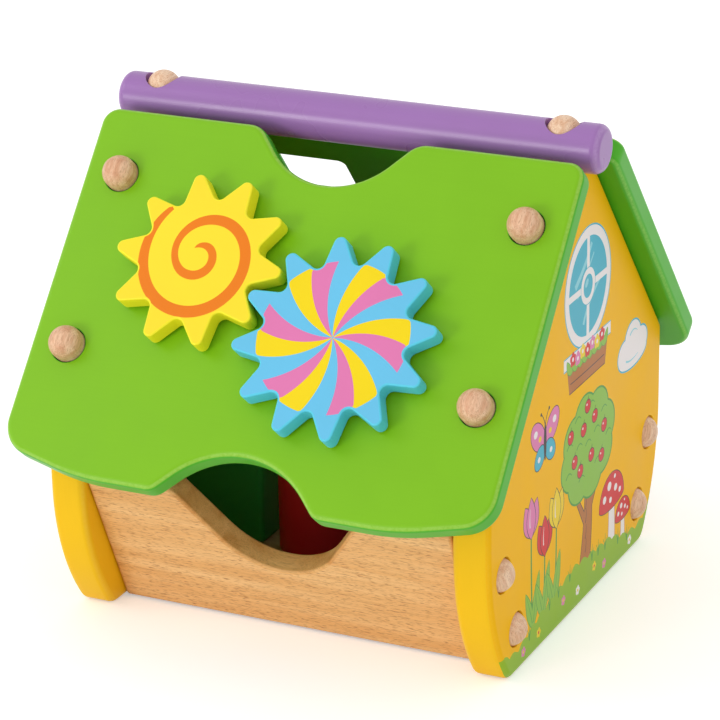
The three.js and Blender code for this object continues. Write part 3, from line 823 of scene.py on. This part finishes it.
# tulips
for x, tall, lean, name in ((-57, 62, -2, "pink"), (-45, 47, 2, "red"), (-32, 55, 3, "lemon")):
    place = (x, 0)
    lay("leafDark", stroke((0, 13), (lean, tall / 2), (lean, tall), 1.8, 1.4))
    lay("leaf", leafForm(0, 14, 27, 6.5, 74), leafForm(0, 14, 22, 6, 112), line="leafDark")
    lay("leafDark", stroke((0.6, 17), (3, 27), (6.2, 37), 0.5, 0.2),
        stroke((-0.6, 17), (-3, 24), (-7, 32), 0.5, 0.2))
    place = (x + lean, tall)
    lay(name, leafForm(0, -2, 18, 10.5, 67), leafForm(0, -2, 18, 10.5, 113), line="dark")
    lay(name, leafForm(0, -3, 20, 10, 90), line="dark")
    lay("white", stroke((-1.4, 3), (-2, 7), (-1, 12), 1, 0.25, 7))

# toadstools
for x, foot, size in ((41, 16, 1.15), (56, 11.5, 0.7)):
    place = (x, foot)
    lay("white", stroke((0, 0), (0.6, 9 * size), (0, 19 * size), 7.5 * size, 6 * size), line="bark")
    place = (x, foot + 19 * size)
    turn = np.linspace(0, pi, 26)
    brim = ray(turn[::-1]) * [14 * size, -3.4 * size]
    lay("red", np.r_[ray(turn) * [14 * size, 12.5 * size], brim[1:-1]], line="dark", by=0.4)
    for x, y, reach in ((-8, 3.2, 1.9), (-2.6, 7.4, 2.2), (4.6, 4.4, 1.8), (9.4, 1.6, 1.4),
                        (-1.2, 0.8, 1.5), (3.6, 9.8, 1.1)):
        lay("white", oval(x * size, y * size, reach * size, reach * size * 0.9, 16))

# lawn: its lower side is the board's own edge, its upper side a row of round tufts
place = (0, 0)
low = border[onGrass]
low = low[np.argsort(low[:, 0])]
x = np.linspace(low[-1, 0] - 0.6, low[0, 0] + 0.6, 220)
tall, spacing = gable["grassTuft"]
height = np.interp(x, *gable["grassLine"]) + tall * np.abs(np.sin(np.pi * x / spacing))
blend = np.clip(np.minimum(x - low[0, 0], low[-1, 0] - x) / 5, 0, 1)
height = height * blend + np.where(x < 0, low[0, 1], low[-1, 1]) * (1 - blend)
lay("grass", np.r_[low, np.c_[x, height]])
for x in (-61, -37, -26, -12, 16, 24, 33, 50, 62):
    place = (x, np.interp(x, *gable["grassLine"]) - 3)
    for lean, tall in ((-2.6, 6.5), (0.3, 8.5), (2.8, 6)):
        lay("leafDark", stroke((0, 0), (lean * 0.2, tall * 0.6), (lean, tall), 0.9, 0.2, 7))

# butterfly
place = (-43, 100)
for side in (-1, 1):
    lay("pink", oval(side * 8.4, 5.2, 9.2, 6, lean=side * 38), line="dark")
    lay("window", oval(side * 6.2, -5.6, 6.4, 4.7, lean=side * -35), line="dark")
    lay("white", oval(side * 11, 7.2, 2.2, 1.8, 14), oval(side * 7, -6.2, 1.6, 1.4, 12))
    lay("lemon", oval(side * 6, 3.4, 1.7, 1.4, 12))
    lay("dark", stroke((0, 8), (side * 1.6, 12.5), (side * 4.4, 14.4), 0.7, 0.5, 8),
        oval(side * 4.7, 14.6, 0.9, 0.9, 10))
lay("dark", oval(0, 0, 1.6, 9))

# cloud, and small flowers in the lawn
place = (0, 0)
puffs = [oval(57, 106, 9.5, 7.4), oval(67, 111, 10.6, 9.2), oval(77, 107, 9, 7), oval(67, 103, 18, 5.8)]
lay("window", *(grown(puff, 0.9) for puff in puffs))
lay("white", *puffs)
lay("glint", stroke((58, 102.4), (64, 99.8), (74, 101.8), 1.1, 0.3),
    stroke((63, 114), (68, 117.4), (73, 113.6), 1.1, 0.3))
for x, y, name in ((-68, 7.4, "pink"), (-50, 9, "lemon"), (-20, 12, "pink"), (-2, 9.5, "white"),
                   (19, 13, "lemon"), (32, 9, "pink"), (66, 7.2, "white")):
    blossom(name, "red" if name == "lemon" else "lemon", x, y, 1.5, 1.1, 0.8, 10)

spots = [leanFrame["front"] @ (0, up, plug["boardMiddle"], 1) for up in plug["boardRows"].values()]
holes = [(opened(plugHoleOutline, side * y, z), plug["gableSeat"], None, 0.45)
         for _, y, z, _ in spots for side in (-1, 1)]
for end in ("right", "left"):
    shell = plate(outline, gable["inner"], gable["outer"], gable["edgeRounding"], holes, layers, sideInk=1)
    inkUpperEdge(shell, grassy)
    addPiece(shell, f"gable_board_{end}", gableFrame[end], gableInks, f"gable_{end}", (0, 1, 0))
print("gables made")


# roof panels, whose bores follow the gears

gear = {
    "back": 18.1, "face": 27.1, "edgeRounding": 0.9, "tipRounding": 3.1, "valleyRounding": 3.5,
    "boreRadius": 4.3, "boreTop": 24.1, "printMargin": 0.25,
}
wheels = {
    "sun": {"teeth": 10, "tip": 46.7636, "valley": 27.5636, "place": (-44.3, -86.2), "turn": -1.8,
            "inks": ["sunYellow", "sunOrange", "sunEdgeReflection"]},
    "pinwheel": {"teeth": 12, "tip": 53.7364, "valley": 32.3364, "place": (30.8754, -113.5616), "turn": 162,
                 "inks": ["wheelBlue", "wheelYellow", "wheelPink", "wheelEdgeReflection"]},
}
panel = {
    "inner": 4.6, "face": 16.6, "side": 120.4, "top": -13.9, "low": -192.5, "edgeRounding": 3,
    "topCorner": 8, "lowCorner": 16, "bendHalf": 78, "bendRounding": 120, "sideRise": 10.1,
    "grip": {"half": 39.3, "reach": 44.5, "bend": 38, "shoulder": 12},
    "arch": {"half": 39.8, "reach": 40.9, "bend": 44, "shoulder": 8},
    "boreRadius": 4.3,
    # shares of the half width and of the height
    "holes": {"square": (0.387, 0.305), "round": (-0.387, 0.305), "triangle": (-0.483, 0.65),
              "hexagon": (0, 0.63), "arcade": (0.483, 0.62)},
}
block = {
    "height": 42, "seat": 10.3, "clearance": 1, "cornerRounding": 2.5, "edgeRounding": 1.8,
    "polygons": {"square": (4, 21), "triangle": (3, 13.5), "hexagon": (6, 20)},     # sides and apothem
    "roundHalf": 21, "arcadeHalf": 21, "arcadeTall": 14.5, "crownShare": 0.49,
    "shares": {"square": (-0.756, 0.102), "round": (-0.225, -0.079), "triangle": (0.37, 0.535),
               "hexagon": (0.37, -0.504), "arcade": (0.758, 0.016)},
}


def blockOutline(name, grow):
    # A polygon's corners lie at the apothem over the cosine of half a side's angle
    rounding = block["cornerRounding"] + grow
    if name == "round":
        return circleOutline(block["roundHalf"] + grow, sides=96)
    if name == "arcade":
        half, tall = block["arcadeHalf"] + grow, block["arcadeTall"] + grow
        right = [[half, -tall, rounding], [half, tall, 2 * half * block["crownShare"]]]
        left = mirrored(right)
        return roundedOutline(left[1:] + right + left[:1])
    sides, apothem = block["polygons"][name]
    turn = (2 * np.arange(sides) + 1) * np.pi / sides - np.pi / 2
    reach = (apothem + grow) / cos(pi / sides)
    return roundedOutline(lifted(ray(turn) * reach, rounding))


side, top, low = panel["side"], panel["top"], panel["low"]
right = [[panel["bendHalf"], low, panel["bendRounding"]],
         [side, low + panel["sideRise"], panel["lowCorner"]], [side, top, panel["topCorner"]]]
left = mirrored(right)
pits = [(opened(plugHoleOutline, across * plug["fromMiddle"], down), plug["panelSeat"], None, 0.4)
        for down in plug["panelRows"].values() for across in (-1, 1)]
bore = circleOutline(panel["boreRadius"])
bores = [(opened(bore, *wheel["place"]), None, None, 0.2) for wheel in wheels.values()]
shapes = [(opened(blockOutline(name, block["clearance"]), across * side, top + down * (low - top)),
           None, None, 0.9) for name, (across, down) in panel["holes"].items()]
front = right + notch(panel["grip"], top, 1) + left + notch(panel["arch"], low, -1)
for name, corners, holes in (("front", front, pits + bores), ("back", right + left, pits + shapes)):
    shell = plate(roundedOutline(corners), panel["inner"], panel["face"], panel["edgeRounding"], holes,
                  sideInk=1)
    inkUpperEdge(shell, 0)
    addPiece(shell, f"roof_board_{name}", slopeFrame[name], ["roofGreen", "roofShadedEdge"], f"roof_panel_{name}")


# gears

spiral = {                # clockwise turn from the eye, and the band's inner and outer radius there
    "eye": 122,
    "turn": [0, 8, 22, 60, 122, 182, 232, 282, 307, 332, 357, 382,
             407, 432, 457, 482, 517, 555, 592, 642, 667, 692, 712],
    "inner": [5.7, 5.5, 5.4, 5.3, 5.1, 5.3, 6.2, 8.5, 10.3, 12.4, 14.2, 15.9,
              17.6, 19.2, 20.1, 20.7, 21.6, 22.6, 23.1, 23.8, 25, 27, 29],
    "outer": [6, 6.8, 7.6, 8.9, 9.2, 9.8, 10.6, 12.2, 13.8, 15.9, 18.2, 20.6,
              22.7, 24.3, 25.3, 26, 27.3, 28.3, 28.7, 29.1, 29.7, 30.8, 31.4],
}
swirl = {"reach": 36, "start": 25.4, "perMm": -0.66, "wide": 20, "repeat": 60, "hub": 0.4}


def wheelFrame(wheel):
    return slopeFrame["front"] @ moved(*wheel["place"]) @ turnedBy(radians(wheel["turn"]), "Z")


def toothedOutline(teeth, tip, valley):
    # Corners on the tip and the valley circle by turns, the first tip on the X axis
    count = np.arange(2 * teeth)
    reach = np.where(count % 2, valley, tip)
    rounding = np.where(count % 2, gear["valleyRounding"], gear["tipRounding"])
    return roundedOutline(lifted(ray(count * np.pi / teeth) * reach[:, None], rounding), 0.006)


def keptWithin(degrees, reach, border):
    # The reach at each turn, cut short where the wheel's flat face ends sooner
    turn = np.degrees(np.arctan2(border[:, 1], border[:, 0])) % 360
    order = np.argsort(turn)
    edge = np.interp(degrees % 360, turn[order], np.hypot(*border[order].T), period=360)
    return np.minimum(reach, edge - gear["printMargin"])


def around(degrees, reach):
    return ray(np.radians(degrees)) * reach[:, None]


def spiralPrint(border, turn):
    # The band between two radii that grow as it winds clockwise, evened out by a running mean
    wound = np.arange(0, spiral["turn"][-1] + 1, 3)
    angle = spiral["eye"] - wound - turn
    edges = []
    for side in ("inner", "outer"):
        reach = np.pad(np.interp(wound, spiral["turn"], spiral[side]), 5, mode="reflect", reflect_type="odd")
        edges.append(keptWithin(angle, np.convolve(reach, np.ones(11) / 11, "valid"), border))
    inner = np.minimum(edges[0], edges[1] - 0.05)
    return [(np.r_[around(angle, inner), around(angle, edges[1])[::-1]], 1)]


def pinwheelPrint(border, turn):
    # Sectors whose two sides lag behind the radius as it grows; each repeats six times
    layers = []
    out = np.linspace(swirl["hub"], swirl["reach"], 18)
    rim = np.linspace(0, swirl["wide"], 12)

    def line(degrees, reach):
        return around(degrees, keptWithin(degrees, reach, border))

    for step in range(6):
        for ink, first in ((1, 0), (2, -swirl["wide"])):
            start = swirl["start"] + first + step * swirl["repeat"] - turn
            low = line(start + swirl["perMm"] * out, out)
            high = line(start + swirl["wide"] + swirl["perMm"] * out, out)
            arc = line(start + swirl["perMm"] * swirl["reach"] + rim, swirl["reach"])
            layers.append((np.r_[low[:-1], arc, high[:-1][::-1]], ink))
    return layers


bore = (opened(circleOutline(gear["boreRadius"])), None, gear["boreTop"], 0.2)
for name, wheel in wheels.items():
    outline = toothedOutline(wheel["teeth"], wheel["tip"], wheel["valley"])
    border = outline[0] - outline[1] * gear["edgeRounding"]
    layers = (spiralPrint if name == "sun" else pinwheelPrint)(border, wheel["turn"])
    shell = plate(outline, gear["back"], gear["face"], gear["edgeRounding"], [bore], layers,
                  sideInk=len(wheel["inks"]) - 1, steps=4)
    addPiece(shell, f"{name}_wheel", wheelFrame(wheel), wheel["inks"], f"{name}_gear")
print("roof panels and gears made")


# axles, washers and their screws

axle = {
    "radius": 4, "foot": 4, "top": 23.8, "rounding": 0.8,
    "washers": {"spacer": (4.3, 16.9, 17.8), "retainer": (2.1, 2.2, 3.7)},     # bore, low and high
    "washerRadius": 9, "washerRounding": 0.25,
    "screwHead": 4.4, "screwHeadLow": 0.3, "screwHeadTop": 3.1, "headRounding": 1,
    "screwRadius": 1.8, "screwLength": 18, "crossHalf": 2.3, "crossWidth": 0.95, "crossDepth": 1.6,
}


def joinedShells(first, second):
    # The second shell's points follow the first's
    for key in ("points", "normals", "rub", "inks"):
        first[key] += second[key]
    first["faces"] += [faces + first["count"] for faces in second["faces"]]
    first["count"] += second["count"]
    return first


# a plus sign of two bars
arm, half = axle["crossHalf"], axle["crossWidth"] / 2
corner = np.array([[arm, -half], [arm, half], [half, half]])
corners = np.concatenate([rotated(corner, lean) for lean in (0, 90, 180, 270)])
cross = roundedOutline(lifted(corners, 0.18))
wide, rounding, headTop = axle["washerRadius"], axle["washerRounding"], axle["screwHeadTop"]
for name, wheel in wheels.items():
    place = wheelFrame(wheel)
    pin = rod(axle["radius"], axle["foot"], axle["top"], 0.3, axle["rounding"], 48)
    addPiece(pin, f"{name}_pin", place, ["axles"], f"{name}_axle", (0, 0, 1))
    for kind, (bore, low, high) in axle["washers"].items():
        ring = turnedPiece([[bore, low, rounding], [wide, low, rounding], [wide, high, rounding],
                            [bore, high, rounding]], closed=True)
        addPiece(ring, f"{name}_{kind}_washer", place, ["zinc"], f"{name}_{kind}")
    recess = (opened(cross), headTop - axle["crossDepth"], None, 0.12)
    head = plate(circleOutline(axle["screwHead"], sides=48), axle["screwHeadLow"], headTop,
                 axle["headRounding"], [recess])
    shank = rod(axle["screwRadius"], 4 - axle["screwLength"], 0.9, 0.5, 0.2, 32, point=4)
    down = place @ moved(z=axle["washers"]["retainer"][1]) @ turnedBy(pi, "X")
    addPiece(joinedShells(head, shank), f"{name}_pin_screw", down, ["zinc"], f"{name}_axle_screw")
for node in slotOf:
    if node.endswith("_screw") and not node.endswith("_axle_screw"):
        frame["nodes"][node].data.materials.clear()
        frame["nodes"][node].data.materials.append(finish["zinc"])
print("axles, washers and screws made")


# front and back boards, and the floor board

board = {
    "half": 91.7, "height": 82.8, "thickness": 12, "cornerRounding": 2, "edgeRounding": 1.5,
    "opening": {"half": 48, "reach": 69.6, "shoulder": 14, "bend": 33.6},
    "floorTop": 10, "floorThickness": 4, "fit": 0.3, "floorCorner": 0.6, "floorEdge": 0.3,
}


def floorHalfDepth(height):
    # The leaning board's inner face at that height, less the gap
    lean = radians(houseSize["boardLean"])
    foot = houseSize["boardFootDepth"] - (board["thickness"] + board["fit"]) / cos(lean)
    return foot + (height - houseSize["boardLift"]) * tan(lean)


half, height, corner = board["half"], board["height"], board["cornerRounding"]
start = [[-half, 0, corner], [half, 0, corner], [half, height, corner]]
for name, cut in (("front", notch(board["opening"], height, 1)), ("back", [])):
    outline = roundedOutline(start + cut + [[-half, height, corner]])
    shell = plate(outline, -board["thickness"], 0, board["edgeRounding"], sideInk=1)
    addPiece(shell, f"leaning_board_{name}", leanFrame[name], ["boards", "boardEdges"], f"{name}_board")
top = board["floorTop"]
side = [[floorHalfDepth(y), y, board["floorCorner"]] for y in (top - board["floorThickness"], top)]
shell = plate(roundedOutline(side + mirrored(side)), -half, half, board["floorEdge"], steps=2)
addPiece(shell, "plywood_floor", gableFrame["right"], ["floor"], "floor_board", (0, 0, 1))

for name, (across, depth) in block["shares"].items():
    place = moved(across * board["half"], depth * floorHalfDepth(board["floorTop"]), block["seat"])
    shell = plate(blockOutline(name, 0), 0, block["height"], block["edgeRounding"])
    addPiece(shell, f"loose_{name}", place, [f"block_{name}"], f"block_{name}", (0, 0, 1))
print("boards, floor and blocks made")
